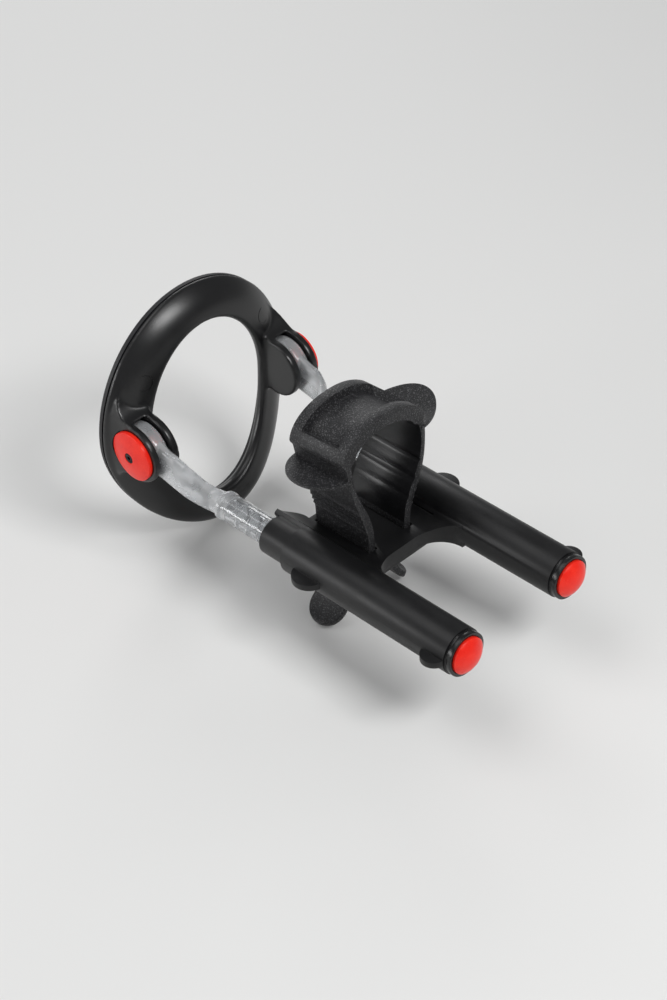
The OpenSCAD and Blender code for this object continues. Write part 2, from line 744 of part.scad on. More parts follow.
module collar_left() { color("#141416") on_left() collar(); }
module collar_right() { color("#141416") on_right() collar(); }
module button_left() { color("#e8402c") on_left() button(); }
module button_right() { color("#e8402c") on_right() button(); }
module button_clip_left() { color("silver") on_left() button_clip(); }
module button_clip_right() { color("silver") on_right() button_clip(); }
module button_spring_left() { color("silver") on_left() button_spring(); }
module button_spring_right() { color("silver") on_right() button_spring(); }
module release_pin_left() { color("silver") on_left() release_pin(); }
module release_pin_right() { color("silver") on_right() release_pin(); }
module spring_seat_left() { color("dimgray") on_left() spring_seat(); }
module spring_seat_right() { color("dimgray") on_right() spring_seat(); }
module lock_rod_left() { color("white") on_left() lock_rod(); }
module lock_rod_right() { color("white") on_right() lock_rod(); }
module tension_spring_left() { color("silver") on_left() tension_spring(); }
module tension_spring_right() { color("silver") on_right() tension_spring(); }
module guide_bush_left() { color("dimgray") on_left() guide_bush(); }
module guide_bush_right() { color("dimgray") on_right() guide_bush(); }
module arm_left() { color("#dfe6ea") on_left() arm(fit); }
module arm_right() { color("#dfe6ea") on_right() arm(open_fit); }
module stop_ring_left() { color("silver") on_left() stop_ring(); }
module stop_ring_right() { color("silver") on_right() stop_ring(); }
module pivot_cap_left() { color("#e8402c") on_left() pivot_cap(); }
module pivot_cap_right() { color("#e8402c") on_right() pivot_cap(); }
module pivot_screw_left() { color("#202022") on_left() pivot_screw(); }
module pivot_screw_right() { color("#202022") on_right() pivot_screw(); }
module pivot_insert_left() { color("gold") on_left() pivot_insert(); }
module pivot_insert_right() { color("gold") on_right() pivot_insert(); }

barrel_frame();
strap_clamp();
rubber_strap();
base_ring();
ring_pad();
collar_left();
collar_right();
button_left();
button_right();
button_clip_left();
button_clip_right();
button_spring_left();
button_spring_right();
release_pin_left();
release_pin_right();
spring_seat_left();
spring_seat_right();
lock_rod_left();
lock_rod_right();
tension_spring_left();
tension_spring_right();
guide_bush_left();
guide_bush_right();
arm_left();
arm_right();
stop_ring_left();
stop_ring_right();
pivot_cap_left();
pivot_cap_right();
pivot_screw_left();
pivot_screw_right();
pivot_insert_left();
pivot_insert_right();
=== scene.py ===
import bpy
import json
from math import radians, sin, cos, asin, atan2, pi, sqrt, exp
from mathutils import Vector, Matrix


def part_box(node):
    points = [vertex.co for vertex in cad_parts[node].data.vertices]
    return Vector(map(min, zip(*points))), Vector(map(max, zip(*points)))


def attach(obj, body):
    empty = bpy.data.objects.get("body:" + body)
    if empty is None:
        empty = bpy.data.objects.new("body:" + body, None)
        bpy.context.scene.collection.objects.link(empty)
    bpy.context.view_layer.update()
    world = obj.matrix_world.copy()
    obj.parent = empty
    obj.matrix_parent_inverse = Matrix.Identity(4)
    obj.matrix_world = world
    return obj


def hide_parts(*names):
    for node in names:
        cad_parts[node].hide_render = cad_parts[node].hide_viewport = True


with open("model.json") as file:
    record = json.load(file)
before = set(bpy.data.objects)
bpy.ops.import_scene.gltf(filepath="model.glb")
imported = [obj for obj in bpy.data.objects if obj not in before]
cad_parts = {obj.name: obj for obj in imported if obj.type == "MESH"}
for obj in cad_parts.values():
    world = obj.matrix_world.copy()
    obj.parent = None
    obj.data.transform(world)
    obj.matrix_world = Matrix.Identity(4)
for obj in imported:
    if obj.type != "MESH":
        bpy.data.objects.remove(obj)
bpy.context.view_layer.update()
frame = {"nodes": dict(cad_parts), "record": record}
mm = 0.001

# the device's own axes: barrels level along y, their rear towards the ring
barrelLow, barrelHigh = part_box("collar_left")
axisZ = (barrelLow.z + barrelHigh.z) / 2
axisX = -(barrelLow.x + barrelHigh.x) / 2
rimAhead = 0.8 * mm      # the buttons' rim plane lies this far ahead of the collars
rimY = barrelLow.y - rimAhead
home = Matrix.Translation((0, rimY, axisZ))
capLow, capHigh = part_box("pivot_cap_left")
pivotPlace = Vector((0, (capLow.y + capHigh.y) / 2, (capLow.z + capHigh.z) / 2))
print("frame loaded, barrel axes at", round(axisX, 4), round(axisZ, 4))


# ---- working helpers

def only(piece):
    if bpy.context.object and bpy.context.object.mode != "OBJECT":
        bpy.ops.object.mode_set(mode="OBJECT")
    bpy.ops.object.select_all(action="DESELECT")
    piece.select_set(True)
    bpy.context.view_layer.objects.active = piece


def editAll(piece):
    only(piece)
    bpy.ops.object.mode_set(mode="EDIT")
    bpy.ops.mesh.select_all(action="SELECT")


def facesOutward(piece, weld=1e-7):
    editAll(piece)
    bpy.ops.mesh.remove_doubles(threshold=weld)
    bpy.ops.mesh.normals_make_consistent(inside=False)
    bpy.ops.object.mode_set(mode="OBJECT")


def modify(piece, kind, **settings):
    only(piece)
    step = piece.modifiers.new("step", kind)
    for key, value in settings.items():
        setattr(step, key, value)
    bpy.ops.object.modifier_apply(modifier="step")


def soften(piece, width, segments=3, angle=32):
    modify(piece, "BEVEL", width=width * mm, segments=segments, limit_method="ANGLE",
           angle_limit=radians(angle), use_clamp_overlap=True)


def combine(piece, other, how="UNION"):
    modify(piece, "BOOLEAN", operation=how, object=other, solver="EXACT")
    bpy.data.objects.remove(other)


def settle(piece, place):
    # puts a piece drawn flat into its place and leaves its object unturned
    only(piece)
    piece.matrix_world = place @ piece.matrix_world
    bpy.ops.object.transform_apply(location=True, rotation=True, scale=True)
    if place.determinant() < 0:
        facesOutward(piece)


def shade(piece, angle=35):
    only(piece)
    bpy.ops.object.shade_smooth_by_angle(angle=radians(angle))


def moveVerts(piece, change):
    only(piece)
    for v in piece.data.vertices:
        v.co = change(v.co.copy())


def circleOf(name, count):
    bpy.ops.object.select_all(action="DESELECT")
    bpy.ops.mesh.primitive_circle_add(vertices=count, radius=1)
    piece = bpy.context.object
    piece.name = piece.data.name = name
    return piece


# a flat outline given in mm, drawn in x and y, pulled up into a solid along z
def slabOf(name, outline, thick):
    piece = circleOf(name, len(outline))
    for v, (x, y) in zip(piece.data.vertices, outline):
        v.co = (x * mm, y * mm, 0)
    editAll(piece)
    bpy.ops.mesh.edge_face_add()
    bpy.ops.mesh.extrude_region_move(TRANSFORM_OT_translate={"value": (0, 0, thick * mm)})
    bpy.ops.object.mode_set(mode="OBJECT")
    facesOutward(piece)
    return piece


# a closed outline of (radius, height) in mm, spun about z
def turnedOf(name, outline, steps=96):
    piece = circleOf(name, len(outline))
    for v, (r, h) in zip(piece.data.vertices, outline):
        v.co = (r * mm, 0, h * mm)
    editAll(piece)
    bpy.ops.mesh.spin(steps=steps, angle=2 * pi, center=(0, 0, 0), axis=(0, 0, 1))
    bpy.ops.object.mode_set(mode="OBJECT")
    facesOutward(piece, 2e-6)
    return piece


# loops of (half width, half height, depth) in mm, each pulled on from the last
def loopsOf(name, loops, count):
    piece = circleOf(name, count)
    editAll(piece)
    a, b, d = loops[0]
    bpy.ops.transform.resize(value=(a * mm, b * mm, 1), center_override=(0, 0, 0))
    bpy.ops.transform.translate(value=(0, 0, d * mm))
    for a2, b2, d2 in list(loops[1:]) + [loops[0]]:
        bpy.ops.mesh.extrude_region_move(TRANSFORM_OT_translate={"value": (0, 0, (d2 - d) * mm)})
        bpy.ops.transform.resize(value=(a2 / a, b2 / b, 1), center_override=(0, 0, 0))
        a, b, d = a2, b2, d2
    bpy.ops.object.mode_set(mode="OBJECT")
    facesOutward(piece, 1e-6)
    return piece


# a round bar that lies across the barrels
def crossBar(name, x0, x1, y, z, radius, count=64):
    bpy.ops.object.select_all(action="DESELECT")
    middle = ((x0 + x1) / 2 * mm, y * mm, z * mm)
    bpy.ops.mesh.primitive_cylinder_add(vertices=count, radius=radius * mm, depth=(x1 - x0) * mm,
                                        location=middle, rotation=(0, pi / 2, 0))
    piece = bpy.context.object
    piece.name = piece.data.name = name
    bpy.ops.object.transform_apply(location=True, rotation=True, scale=True)
    return piece


# a copy of a frame node with its corners rounded, standing for that node
def roundedCopy(node, width, segments=2, angle=32, name=None):
    source = frame["nodes"][node]
    piece = source.copy()
    piece.data = source.data.copy()
    piece.name = piece.data.name = name or node + ".soft"
    bpy.context.collection.objects.link(piece)
    piece.parent = None
    for key in list(piece.keys()):
        del piece[key]
    piece.matrix_world = Matrix.Identity(4)
    editAll(piece)
    bpy.ops.mesh.remove_doubles(threshold=1e-6)
    bpy.ops.mesh.dissolve_limited(angle_limit=radians(1))
    bpy.ops.object.mode_set(mode="OBJECT")
    if width:
        soften(piece, width, segments, angle)
    shade(piece)
    return piece


def finishPiece(piece, material, body, slot, *nodes):
    piece.data.materials.clear()
    piece.data.materials.append(material)
    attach(piece, body)
    if nodes:
        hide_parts(*nodes)
    print("piece", piece.name, len(piece.data.polygons), "faces")


def mirrored(piece, name):
    twin = piece.copy()
    twin.data = piece.data.copy()
    twin.name = twin.data.name = name
    bpy.context.collection.objects.link(twin)
    settle(twin, Matrix.Diagonal((-1, 1, 1, 1)))
    shade(twin)
    return twin


# ---- finishes

class Board:
    # a material with its node board, worked from the object's own coordinates
    def __init__(self, name):
        self.material = bpy.data.materials.new(name)
        self.material.use_nodes = True
        self.nodes = self.material.node_tree.nodes
        self.links = self.material.node_tree.links
        self.shader = self.nodes["Principled BSDF"]
        self.coords = self.nodes.new("ShaderNodeTexCoord").outputs["Object"]
        self.height = None

    def set(self, **values):
        for key, value in values.items():
            self.shader.inputs[key.replace("_", " ")].default_value = value

    def stretch(self, scale):
        node = self.nodes.new("ShaderNodeMapping")
        node.inputs["Scale"].default_value = scale
        self.links.new(self.coords, node.inputs["Vector"])
        return node.outputs["Vector"]

    def noise(self, perMetre, detail=3.0, rough=0.55, vector=None):
        node = self.nodes.new("ShaderNodeTexNoise")
        node.inputs["Scale"].default_value = perMetre
        node.inputs["Detail"].default_value = detail
        node.inputs["Roughness"].default_value = rough
        self.links.new(vector or self.coords, node.inputs["Vector"])
        return node.outputs["Fac"]

    def cells(self, perMetre, feature="F1"):
        node = self.nodes.new("ShaderNodeTexVoronoi")
        node.feature = feature
        node.inputs["Scale"].default_value = perMetre
        self.links.new(self.coords, node.inputs["Vector"])
        return node.outputs["Distance"]

    def band(self, source, low, high, toLow=0.0, toHigh=1.0):
        node = self.nodes.new("ShaderNodeMapRange")
        node.inputs["From Min"].default_value = low
        node.inputs["From Max"].default_value = high
        node.inputs["To Min"].default_value = toLow
        node.inputs["To Max"].default_value = toHigh
        self.links.new(source, node.inputs["Value"])
        return node.outputs["Result"]

    def mixed(self, factor, first, second):
        node = self.nodes.new("ShaderNodeMix")
        node.data_type = "RGBA"
        self.links.new(factor, node.inputs["Factor"])
        for socket, colour in ((node.inputs[6], first), (node.inputs[7], second)):
            if isinstance(colour, tuple):
                socket.default_value = (*colour, 1)
            else:
                self.links.new(colour, socket)
        return node.outputs[2]

    def colour(self, source):
        self.links.new(source, self.shader.inputs["Base Color"])

    def roughness(self, source):
        self.links.new(source, self.shader.inputs["Roughness"])

    def bump(self, source, depth, strength=1.0):
        node = self.nodes.new("ShaderNodeBump")
        node.inputs["Distance"].default_value = depth * mm
        node.inputs["Strength"].default_value = strength
        self.links.new(source, node.inputs["Height"])
        if self.height:
            self.links.new(self.height, node.inputs["Normal"])
        self.height = node.outputs["Normal"]
        self.links.new(self.height, self.shader.inputs["Normal"])


def mouldedPlastic(name, look):
    board = Board(name)
    grain = board.noise(look["grain"], 2.0)
    cloud = board.noise(look["cloud"], 4.0)
    specks = board.band(board.noise(look["grain"] * 0.6, 1.0), 0.62, 0.72)
    base = board.mixed(board.band(cloud, 0.35, 0.68), look["dark"], look["light"])
    board.colour(board.mixed(board.band(specks, 0, 1, 0, look["speck"]), base, look["dust"]))
    board.roughness(board.band(cloud, 0.3, 0.7, look["rough"][0], look["rough"][1]))
    board.bump(grain, look["depth"], 0.6)
    board.set(IOR=1.5, Specular_IOR_Level=look["shine"])
    return board.material


def rubberFinish(name, look):
    board = Board(name)
    pebbles = board.cells(look["pebble"])
    cloud = board.noise(look["cloud"], 5.0)
    flecks = board.band(board.noise(look["fleck"], 2.0), 0.55, 0.68)
    base = board.mixed(board.band(cloud, 0.3, 0.7), look["dark"], look["light"])
    board.colour(board.mixed(board.band(flecks, 0, 1, 0, look["fleckAmount"]), base, look["dust"]))
    board.roughness(board.band(flecks, 0, 1, look["rough"][0], look["rough"][1]))
    board.bump(pebbles, look["depth"], 0.8)
    board.bump(board.noise(look["fleck"], 2.0), look["depth"] * 0.5, 0.6)
    board.set(IOR=1.48, Specular_IOR_Level=look["shine"], Sheen_Weight=look["sheen"], Sheen_Roughness=0.4)
    return board.material


def clearFinish(name, look):
    board = Board(name)
    streak = board.noise(look["streak"], 3.0, vector=board.stretch((1, 0.15, 1)))
    board.colour(board.mixed(board.band(streak, 0.35, 0.7), look["tint"], look["pale"]))
    # the tube is clear and the blade behind it frosted
    split = board.nodes.new("ShaderNodeSeparateXYZ")
    board.links.new(board.coords, split.inputs["Vector"])
    start = rimY + look["frostFrom"] * mm
    frost = board.band(split.outputs["Y"], start, start + 4 * mm)
    haze = board.band(board.noise(look["haze"], 3.0), 0.35, 0.7, -look["uneven"], look["uneven"])
    blend = board.nodes.new("ShaderNodeMath")
    board.links.new(board.band(frost, 0, 1, *look["rough"]), blend.inputs[0])
    board.links.new(haze, blend.inputs[1])
    board.roughness(blend.outputs["Value"])
    board.links.new(board.band(frost, 0, 1, *look["through"]), board.shader.inputs["Transmission Weight"])
    board.bump(streak, look["depth"], 0.5)
    board.set(IOR=look["ior"], Coat_Weight=0.3, Coat_Roughness=0.06)
    return board.material


def metalFinish(name, look):
    board = Board(name)
    lines = board.noise(look["lines"], 3.0, vector=board.stretch(look["along"]))
    board.colour(board.mixed(board.band(lines, 0.3, 0.7), look["dark"], look["light"]))
    board.roughness(board.band(lines, 0.3, 0.7, look["rough"][0], look["rough"][1]))
    board.bump(lines, look["depth"], 0.4)
    board.set(Metallic=1.0)
    return board.material


housingLook = {"grain": 5200, "cloud": 90, "dark": (0.0036, 0.0036, 0.0040),
               "light": (0.0062, 0.0062, 0.0067), "dust": (0.03, 0.03, 0.031), "speck": 0.2,
               "rough": (0.36, 0.46), "depth": 0.02, "shine": 0.36}
ringLook = {"grain": 4200, "cloud": 60, "dark": (0.0034, 0.0034, 0.0038), "light": (0.0058, 0.0058, 0.0063),
            "dust": (0.03, 0.03, 0.031), "speck": 0.12, "rough": (0.28, 0.36), "depth": 0.014, "shine": 0.52}
collarLook = {"grain": 5200, "cloud": 120, "dark": (0.0034, 0.0034, 0.0037),
              "light": (0.0055, 0.0055, 0.0060), "dust": (0.03, 0.03, 0.03), "speck": 0.12,
              "rough": (0.22, 0.31), "depth": 0.01, "shine": 0.42}
redLook = {"grain": 3600, "cloud": 240, "dark": (0.84, 0.014, 0.006), "light": (0.94, 0.028, 0.011),
           "dust": (0.93, 0.12, 0.07), "speck": 0.25, "rough": (0.28, 0.36), "depth": 0.014, "shine": 0.32}
greyLook = {"grain": 3000, "cloud": 200, "dark": (0.10, 0.10, 0.105), "light": (0.14, 0.14, 0.146),
            "dust": (0.2, 0.2, 0.2), "speck": 0.2, "rough": (0.42, 0.55), "depth": 0.02, "shine": 0.45}
whiteLook = {"grain": 2600, "cloud": 200, "dark": (0.70, 0.70, 0.68), "light": (0.78, 0.78, 0.77),
             "dust": (0.82, 0.82, 0.8), "speck": 0.2, "rough": (0.3, 0.4), "depth": 0.01, "shine": 0.5}
strapLook = {"pebble": 1700, "cloud": 160, "fleck": 2300, "fleckAmount": 0.85,
             "dark": (0.006, 0.006, 0.0068), "light": (0.014, 0.014, 0.0155), "dust": (0.12, 0.12, 0.125),
             "rough": (0.5, 0.34), "depth": 0.08, "sheen": 0.05, "shine": 0.4}
satinLook = {"pebble": 600, "cloud": 120, "fleck": 1500, "fleckAmount": 0.1,
             "dark": (0.006, 0.006, 0.0068), "light": (0.010, 0.010, 0.011), "dust": (0.06, 0.06, 0.062),
             "rough": (0.30, 0.36), "depth": 0.003, "sheen": 0.0, "shine": 0.45}
padLook = {"pebble": 2600, "cloud": 120, "fleck": 3200, "fleckAmount": 0.25,
           "dark": (0.010, 0.010, 0.011), "light": (0.018, 0.018, 0.020), "dust": (0.06, 0.06, 0.062),
           "rough": (0.52, 0.44), "depth": 0.03, "sheen": 0.05, "shine": 0.4}
clearLook = {"streak": 260, "haze": 400, "tint": (0.70, 0.72, 0.74), "pale": (0.86, 0.87, 0.88),
             "rough": (0.07, 0.25), "uneven": 0.03, "depth": 0.02, "ior": 1.45, "through": (0.88, 0.70),
             "frostFrom": 108.0}
steelLook = {"lines": 900, "along": (1, 0.1, 1), "dark": (0.48, 0.48, 0.50), "light": (0.68, 0.68, 0.70),
             "rough": (0.2, 0.34), "depth": 0.01}
blackSteelLook = {"lines": 1500, "along": (0.2, 1, 1), "dark": (0.008, 0.008, 0.009),
                  "light": (0.02, 0.02, 0.022), "rough": (0.3, 0.42), "depth": 0.01}
brassLook = {"lines": 1500, "along": (0.2, 1, 1), "dark": (0.62, 0.42, 0.16), "light": (0.78, 0.58, 0.27),
             "rough": (0.22, 0.34), "depth": 0.01}

finishes = {
    "black_plastic": mouldedPlastic("housingPlastic", housingLook),
    "ring_plastic": mouldedPlastic("ringPlastic", ringLook),
    "pad_rubber": rubberFinish("padRubber", padLook),
    "strap_rubber": rubberFinish("strapRubber", strapLook),
    "red_plastic": mouldedPlastic("redPlastic", redLook),
    "clear_plastic": clearFinish("clearPlastic", clearLook),
    "white_plastic": mouldedPlastic("whitePlastic", whiteLook),
    "grey_plastic": mouldedPlastic("greyPlastic", greyLook),
    "steel": metalFinish("springSteel", steelLook),
    "black_steel": metalFinish("blackSteel", blackSteelLook),
    "brass": metalFinish("turnedBrass", brassLook)}
collarPlastic = mouldedPlastic("collarPlastic", collarLook)

slotOfNode = {row["node"]: row["material_slot"] for row in frame["record"]["subparts"]}
for nodeName, nodeObject in frame["nodes"].items():
    nodeObject.data.materials.clear()
    nodeObject.data.materials.append(finishes[slotOfNode[nodeName]])
print("finishes ready")


# ---- base ring, drawn flat with its front along +z and then stood up

ring = {"lean": -2.8, "forward": 12.35, "up": 2.05, "outer": (41.4, 45.6), "nose": (25.6, 33.6),
        "rimInset": 0.6, "rimDepth": 2.3, "noseFlare": (1.9, 1.7), "noseDepth": 8.4, "bulge": 1.5,
        "rearInner": (32.3, 37.6), "sideBend": -0.66, "topBend": -0.8, "lowBend": 6.67,
        "capGap": 0.4, "capSeat": 37.9, "pocketEnd": 46, "voxel": 0.45, "smooth": 5,
        "marks": ((-26.6, 22.8), (28.4, 21.7)), "markRadius": 2.7, "markWidth": 0.3, "markDepth": 0.22}
# the two ears on each side grow out of one root; a slot between them takes the eye of the arm
ears = {"inner": 27.2, "outer": 38.3, "head": 10.7, "above": 10.0, "below": 7.0, "front": 2.6, "root": 1.4,
        "sink": 0.5, "tuckFrom": 11.0, "tuckLength": 9.0, "tuckDepth": 1.6,
        "footDepth": 5.2, "footFlare": 1.1,
        "cutDepths": (2.2, 2.9, 3.6, 4.3, 5.2, 6.2, 7.4, 8.8, 10.4),
        "cutHeights": (-14, -10, -6, -2, 2, 6, 10, 14, 18)}
slot = {"inner": 30.05, "outer": 35.85, "radius": 10.7, "half": 14, "back": 2.5, "front": 14}
lean = radians(ring["lean"])
ringCentre = pivotPlace + Vector((0, ring["forward"] * cos(lean) - ring["up"] * sin(lean),
                                  -ring["forward"] * sin(lean) - ring["up"] * cos(lean))) * mm
ringPlace = Matrix.Translation(ringCentre) @ Matrix.Rotation(pi / 2 - lean, 4, "X")


def bent(co):
    # the ring is bowed: its sides and top fall back a little, its lower part comes forward
    x, y = co.x / mm, co.y / mm
    bow = ring["sideBend"] * x * x + (ring["topBend"] if y > 0 else ring["lowBend"]) * y * y
    return Vector((co.x, co.y, co.z + bow * mm / 1000))


def frontAt(share):
    # half width, half height and depth of the sloped front, from its rim at 0 to its nose at 1
    startA, startB = (size - ring["rimInset"] for size in ring["outer"])
    endA, endB = (size + flare for size, flare in zip(ring["nose"], ring["noseFlare"]))
    startD = ring["rimDepth"]
    return (startA + (endA - startA) * share, startB + (endB - startB) * share,
            startD + (ring["noseDepth"] - startD) * share + ring["bulge"] * sin(pi * share ** 0.85))


def ringLoops():
    outA, outB = ring["outer"]
    noseA, noseB = ring["nose"]
    backA, backB = ring["rearInner"]
    depth = ring["noseDepth"]
    loops = [(backA + 1.2, backB + 1.2, 0.0), (outA - 1.0, outB - 1.0, 0.0), (outA - 0.25, outB - 0.25, 0.3),
             (outA, outB, 0.9), (outA - 0.1, outB - 0.1, 1.6)]
    loops += [frontAt(i / 16) for i in range(17)]
    # the nose rolls over and runs back along the inside of the hole
    loops += [(noseA + wide, noseB + tall, depth - back) for wide, tall, back in (
        (0.9, 0.8, 0.15), (0.25, 0.25, 0.8), (0, 0, 1.8), (0.3, 0.3, 2.9), (1.0, 0.8, 4.0), (2.4, 1.5, 5.1),
        (4.4, 2.6, 6.4))]
    loops += [(backA - 0.4, backB - 0.4, 1.0), (backA + 0.1, backB + 0.1, 0.3)]
    return loops


# side outline of the ears as (height, depth): a round head with a hollow on each side of its root
def earOutline():
    middle, head, front = ring["forward"], ears["head"], ears["front"]
    halves = []
    for side, hollow in ((1, ears["above"]), (-1, ears["below"])):
        reach = head + hollow
        rise = middle - front - hollow
        across = sqrt(reach * reach - rise * rise)
        touch = asin(rise / reach)
        half = []
        for i in range(25):
            a = pi / 2 - (pi / 2 + touch) * i / 24
            half.append((side * head * cos(a), middle + head * sin(a)))
        for i in range(1, 13):
            a = pi - touch + (pi / 2 + touch) * i / 12
            half.append((side * (across + hollow * cos(a)), front + hollow + hollow * sin(a)))
        half.append((side * across, ears["root"]))
        halves.append(half)
    return halves[0] + halves[1][::-1][:-1]


def sideSlab(name, outline, inner, outer):
    # drawn as height, depth, thickness and stood on the left so that its depth runs along the ring's
    piece = slabOf(name, outline, outer - inner)
    settle(piece, Matrix(((0, 0, -1, -inner * mm), (1, 0, 0, ring["up"] * mm), (0, 1, 0, 0), (0, 0, 0, 1))))
    facesOutward(piece)
    return piece


def buildEars():
    inner, outer = ears["inner"], ears["outer"]
    root = sideSlab("earRoot", earOutline(), inner, outer)
    cuts = [((0, 0, depth * mm), (0, 0, 1)) for depth in ears["cutDepths"]]
    cuts += [((0, height * mm, 0), (0, 1, 0)) for height in ears["cutHeights"]]
    for place, way in cuts:
        editAll(root)
        bpy.ops.mesh.bisect(plane_co=place, plane_no=way)
        bpy.ops.object.mode_set(mode="OBJECT")

    def follow(co):
        # outside, the root runs out into the ring's side; inside, its foot stays within the ring
        height, depth, x = co.y / mm, co.z / mm, -co.x / mm
        if abs(x - outer) < 0.05 and depth < ring["forward"]:
            share = ((ring["forward"] - depth) / ring["forward"]) ** 2
            tuck = min(1, max(0, abs(height - ring["up"]) - ears["tuckFrom"]) / ears["tuckLength"])
            share += (1 - share) * tuck
            wide, tall = ring["outer"]
            goal = wide * sqrt(1 - (height / tall) ** 2) - ears["sink"] - ears["tuckDepth"] * tuck
            co.x = -(outer + (goal - outer) * share) * mm
        if abs(x - inner) < 0.05:
            co.x = -(inner + max(0, ears["footDepth"] - depth) * ears["footFlare"]) * mm
        return co
    moveVerts(root, follow)
    return root


def slotCutters():
    inner, outer, half = slot["inner"], slot["outer"], slot["half"]
    middle = ring["forward"]
    hole = crossBar("slot", -outer, -inner, ring["up"], 0, slot["radius"], 96)
    moveVerts(hole, lambda co: Vector((co.x, co.y, co.z + middle * mm)))
    back, front = middle - slot["back"], middle + slot["front"]
    mouth = sideSlab("slotFront", [(-half, back), (half, back), (half, front), (-half, front)], inner, outer)
    return [hole, mouth]


def melted(piece, others=()):
    # joins closed solids that overlap into one even skin
    bpy.ops.object.select_all(action="DESELECT")
    for one in (*others, piece):
        one.select_set(True)
    bpy.context.view_layer.objects.active = piece
    if others:
        bpy.ops.object.join()
    modify(piece, "REMESH", mode="VOXEL", voxel_size=ring["voxel"] * mm)


def slopeAt(x, y):
    # depth and tilt of the ring's front at a place given in mm
    def offEdge(share):
        a, b, depth = frontAt(share)
        return abs((x / a) ** 2 + (y / b) ** 2 - 1)
    share = min((i / 200 for i in range(201)), key=offEdge)
    low, high = frontAt(max(0, share - 0.02)), frontAt(min(1, share + 0.02))
    tilt = atan2(high[2] - low[2], low[0] - high[0])
    return bent(Vector((x * mm, y * mm, frontAt(share)[2] * mm))).z / mm, tilt


def buildRing():
    body = loopsOf("baseRing", ringLoops(), 192)
    moveVerts(body, bent)
    root = buildEars()
    melted(body, (mirrored(root, "rootTwin"), root))
    for cutter in slotCutters():
        combine(body, mirrored(cutter, cutter.name + "Twin"), "DIFFERENCE")
        combine(body, cutter, "DIFFERENCE")
    melted(body)
    modify(body, "SMOOTH", factor=0.5, iterations=ring["smooth"])
    # pockets that the red caps sit in
    capRadius = (capHigh.z - capLow.z) / 2 / mm + ring["capGap"]
    for sign in (-1, 1):
        x0, x1 = sorted((sign * ring["capSeat"], sign * ring["pocketEnd"]))
        pocket = crossBar("pocket", x0, x1, ring["up"], 0, capRadius, 96)
        moveVerts(pocket, lambda co: Vector((co.x, co.y, co.z + ring["forward"] * mm)))
        combine(body, pocket, "DIFFERENCE")
    for x, y in ring["marks"]:
        r, w, deep = ring["markRadius"], ring["markWidth"], ring["markDepth"]
        depth, tilt = slopeAt(x, y)
        mark = turnedOf("mark", [(r, -deep), (r + w, -deep), (r + w, 2.0), (r, 2.0)], 48)
        lay = Matrix.Rotation(atan2(y, x), 4, "Z") @ Matrix.Rotation(tilt, 4, "Y")
        settle(mark, Matrix.Translation((x * mm, y * mm, depth * mm)) @ lay)
        combine(body, mark, "DIFFERENCE")
    settle(body, ringPlace)
    shade(body, 38)
    return body


finishPiece(buildRing(), finishes["ring_plastic"], "ring", "ring_plastic", "base_ring")


padSize = {"inner": (32.9, 38.2), "outer": (41.2, 45.4), "thick": 2.0, "round": 0.9}


def buildPad():
    (inA, inB), (outA, outB), t, r = padSize["inner"], padSize["outer"], padSize["thick"], padSize["round"]
    loops = [(inA, inB, -0.05), (outA, outB, -0.05)]
    for i in range(7):
        a = -pi / 2 * i / 6
        loops.append((outA - r + r * cos(a), outB - r + r * cos(a), -(t - r) + r * sin(a)))
    loops += [(outA - 3, outB - 2.4, -t), (inA + 2.4, inB + 1.6, -t)]
    for i in range(7):
        a = -pi / 2 - pi / 2 * i / 6
        loops.append((inA + r + r * cos(a), inB + r + r * cos(a), -(t - r) + r * sin(a)))
    pad = loopsOf("softPad", loops, 160)
    moveVerts(pad, bent)
    settle(pad, ringPlace)
    shade(pad, 45)
    return pad


finishPiece(buildPad(), finishes["pad_rubber"], "ring", "pad_rubber", "ring_pad")


# ---- clear arms, drawn on the left side from the buttons' rim plane

arm = {"tubeStart": 51.0, "collar": (109.4, 112.0), "tubeRadius": 4.95, "bore": 3.2, "collarRadius": 5.35,
       "groove": 5.5, "grooveWidth": 1.7, "grooveDepth": 0.6, "eyeRadius": 9.6, "eyeThick": 5.0,
       "eyeX": 33.05, "pinRadius": 3.05, "voxel": 0.36, "smooth": 6}
pivotY = (pivotPlace.y - rimY) / mm
pivotZ = (pivotPlace.z - axisZ) / mm
# blade stations from the collar to the eye: x, y, z, half thickness, half height
bladeStations = [
    (-24.5, 110.6, 0.0, 3.9, 4.3), (-24.7, 113.0, 0.0, 3.6, 4.2), (-25.6, 115.2, 0.6, 3.2, 4.4),
    (-27.6, 117.2, 2.6, 2.8, 4.9), (-30.0, 119.2, 5.9, 2.6, 5.8), (-32.0, 121.6, 9.0, 2.45, 6.5),
    (-32.9, 124.6, 11.0, 2.35, 6.8), (-33.05, 128.6, 12.0, 2.3, 6.9), (-33.05, 133.0, 13.2, 2.25, 7.4),
    (-33.05, 137.4, 14.2, 2.2, 8.0)]


def buildBlade():
    blade = circleOf("blade", 40)
    # a rounded upright section to start from: half width 1, half height 1
    for v in blade.data.vertices:
        x, z = v.co.x, v.co.y
        k = (abs(x) ** 2.6 + abs(z) ** 2.6) ** (-1 / 2.6)
        v.co = (x * k * mm, 0, z * k * mm)
    editAll(blade)
    bpy.ops.mesh.edge_face_add()
    x, y, z, w, h = bladeStations[0]
    bpy.ops.transform.resize(value=(w, 1, h), center_override=(0, 0, 0))
    bpy.ops.transform.translate(value=(x * mm, y * mm, z * mm))
    for x2, y2, z2, w2, h2 in bladeStations[1:]:
        bpy.ops.mesh.extrude_region_move(
            TRANSFORM_OT_translate={"value": ((x2 - x) * mm, (y2 - y) * mm, (z2 - z) * mm)})
        bpy.ops.transform.resize(value=(w2 / w, 1, h2 / h), center_override=(x2 * mm, y2 * mm, z2 * mm))
        x, y, z, w, h = x2, y2, z2, w2, h2
    bpy.ops.object.mode_set(mode="OBJECT")
    facesOutward(blade)
    return blade


